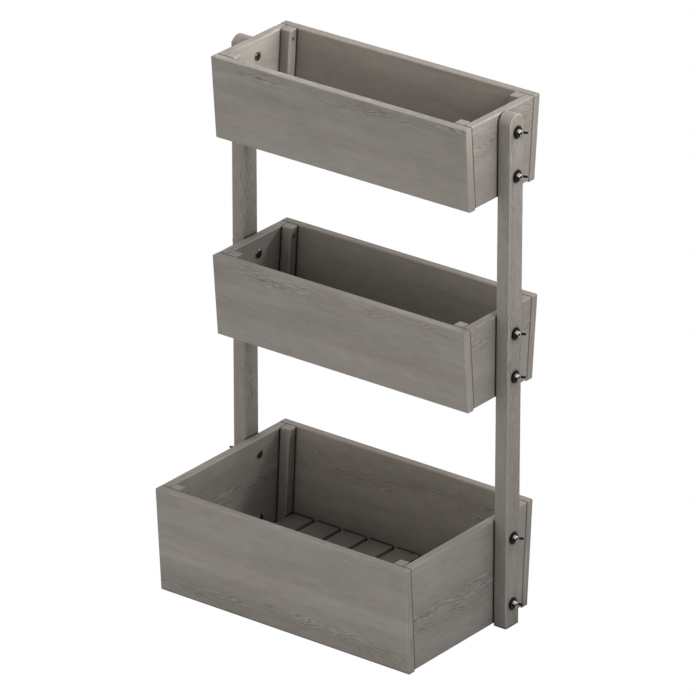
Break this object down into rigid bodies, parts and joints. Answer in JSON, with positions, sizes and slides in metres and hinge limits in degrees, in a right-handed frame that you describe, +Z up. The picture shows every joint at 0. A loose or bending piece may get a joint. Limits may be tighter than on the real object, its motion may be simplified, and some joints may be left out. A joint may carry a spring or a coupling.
{
  "type": "tiered planter",
  "caption": "Free-standing tiered wooden planter: slatted, leaning-sided boxes bolted between side posts with wing nuts.",
  "frame": {"origin": "middle of the planter's footprint, on the ground", "axes": "+X to the right seen from the front, along the boxes; +Y to the back, where the posts stand; +Z up"},
  "size_m": [0.6334, 0.3768, 0.9659],
  "materials": {
    "board_wood": "matt grey wash",
    "post_wood": "matt grey wash",
    "batten_wood": "matt grey wash",
    "slat_wood": "matt grey wash",
    "nut_steel": "dark plated",
    "bolt_steel": "zinc plated"
  },
  "bodies": {
    "frame": {"bottom_back_board": "board_wood", "bottom_back_cleat": "batten_wood", "bottom_back_left_batten": "batten_wood", "bottom_back_right_batten": "batten_wood", "bottom_floor_slats": "slat_wood", "bottom_front_board": "board_wood", "bottom_front_cleat": "batten_wood", "bottom_front_left_batten": "batten_wood", "bottom_front_right_batten": "batten_wood", "bottom_left_end_board": "board_wood", "bottom_right_end_board": "board_wood", "coach_bolts": "bolt_steel", "left_post": "post_wood", "middle_back_board": "board_wood", "middle_back_cleat": "batten_wood", "middle_back_left_batten": "batten_wood", "middle_back_right_batten": "batten_wood", "middle_floor_slats": "slat_wood", "middle_front_board": "board_wood", "middle_front_cleat": "batten_wood", "middle_front_left_batten": "batten_wood", "middle_front_right_batten": "batten_wood", "middle_left_end_board": "board_wood", "middle_right_end_board": "board_wood", "right_post": "post_wood", "top_back_board": "board_wood", "top_back_cleat": "batten_wood", "top_back_left_batten": "batten_wood", "top_back_right_batten": "batten_wood", "top_floor_slats": "slat_wood", "top_front_board": "board_wood", "top_front_cleat": "batten_wood", "top_front_left_batten": "batten_wood", "top_front_right_batten": "batten_wood", "top_left_end_board": "board_wood", "top_right_end_board": "board_wood"},
    "bottom_left_lower_wing_nut": {"bottom_left_lower_wing_nut": "nut_steel"},
    "bottom_left_upper_wing_nut": {"bottom_left_upper_wing_nut": "nut_steel"},
    "bottom_right_lower_wing_nut": {"bottom_right_lower_wing_nut": "nut_steel"},
    "bottom_right_upper_wing_nut": {"bottom_right_upper_wing_nut": "nut_steel"},
    "middle_left_lower_wing_nut": {"middle_left_lower_wing_nut": "nut_steel"},
    "middle_left_upper_wing_nut": {"middle_left_upper_wing_nut": "nut_steel"},
    "middle_right_lower_wing_nut": {"middle_right_lower_wing_nut": "nut_steel"},
    "middle_right_upper_wing_nut": {"middle_right_upper_wing_nut": "nut_steel"},
    "top_left_lower_wing_nut": {"top_left_lower_wing_nut": "nut_steel"},
    "top_left_upper_wing_nut": {"top_left_upper_wing_nut": "nut_steel"},
    "top_right_lower_wing_nut": {"top_right_lower_wing_nut": "nut_steel"},
    "top_right_upper_wing_nut": {"top_right_upper_wing_nut": "nut_steel"}
  },
  "joints": [
    {"name": "bottom_left_lower_wing_nut_turn", "type": "hinge", "parent": "frame", "child": "bottom_left_lower_wing_nut", "pos_m": [-0.30415, 0.086, 0.0435], "axis": [-1, 0, 0], "range_deg": [0, 1890]},
    {"name": "bottom_left_upper_wing_nut_turn", "type": "hinge", "parent": "frame", "child": "bottom_left_upper_wing_nut", "pos_m": [-0.30415, 0.086, 0.1705], "axis": [-1, 0, 0], "range_deg": [0, 1890]},
    {"name": "bottom_right_lower_wing_nut_turn", "type": "hinge", "parent": "frame", "child": "bottom_right_lower_wing_nut", "pos_m": [0.30415, 0.086, 0.0435], "axis": [1, 0, 0], "range_deg": [0, 1890]},
    {"name": "bottom_right_upper_wing_nut_turn", "type": "hinge", "parent": "frame", "child": "bottom_right_upper_wing_nut", "pos_m": [0.30415, 0.086, 0.1705], "axis": [1, 0, 0], "range_deg": [0, 1890]},
    {"name": "middle_left_lower_wing_nut_turn", "type": "hinge", "parent": "frame", "child": "middle_left_lower_wing_nut", "pos_m": [-0.30415, 0.086, 0.4785], "axis": [-1, 0, 0], "range_deg": [0, 1890]},
    {"name": "middle_left_upper_wing_nut_turn", "type": "hinge", "parent": "frame", "child": "middle_left_upper_wing_nut", "pos_m": [-0.30415, 0.086, 0.5595], "axis": [-1, 0, 0], "range_deg": [0, 1890]},
    {"name": "middle_right_lower_wing_nut_turn", "type": "hinge", "parent": "frame", "child": "middle_right_lower_wing_nut", "pos_m": [0.30415, 0.086, 0.4785], "axis": [1, 0, 0], "range_deg": [0, 1890]},
    {"name": "middle_right_upper_wing_nut_turn", "type": "hinge", "parent": "frame", "child": "middle_right_upper_wing_nut", "pos_m": [0.30415, 0.086, 0.5595], "axis": [1, 0, 0], "range_deg": [0, 1890]},
    {"name": "top_left_lower_wing_nut_turn", "type": "hinge", "parent": "frame", "child": "top_left_lower_wing_nut", "pos_m": [-0.30415, 0.086, 0.8525], "axis": [-1, 0, 0], "range_deg": [0, 1890]},
    {"name": "top_left_upper_wing_nut_turn", "type": "hinge", "parent": "frame", "child": "top_left_upper_wing_nut", "pos_m": [-0.30415, 0.086, 0.9335], "axis": [-1, 0, 0], "range_deg": [0, 1890]},
    {"name": "top_right_lower_wing_nut_turn", "type": "hinge", "parent": "frame", "child": "top_right_lower_wing_nut", "pos_m": [0.30415, 0.086, 0.8525], "axis": [1, 0, 0], "range_deg": [0, 1890]},
    {"name": "top_right_upper_wing_nut_turn", "type": "hinge", "parent": "frame", "child": "top_right_upper_wing_nut", "pos_m": [0.30415, 0.086, 0.9335], "axis": [1, 0, 0], "range_deg": [0, 1890]}
  ]
}
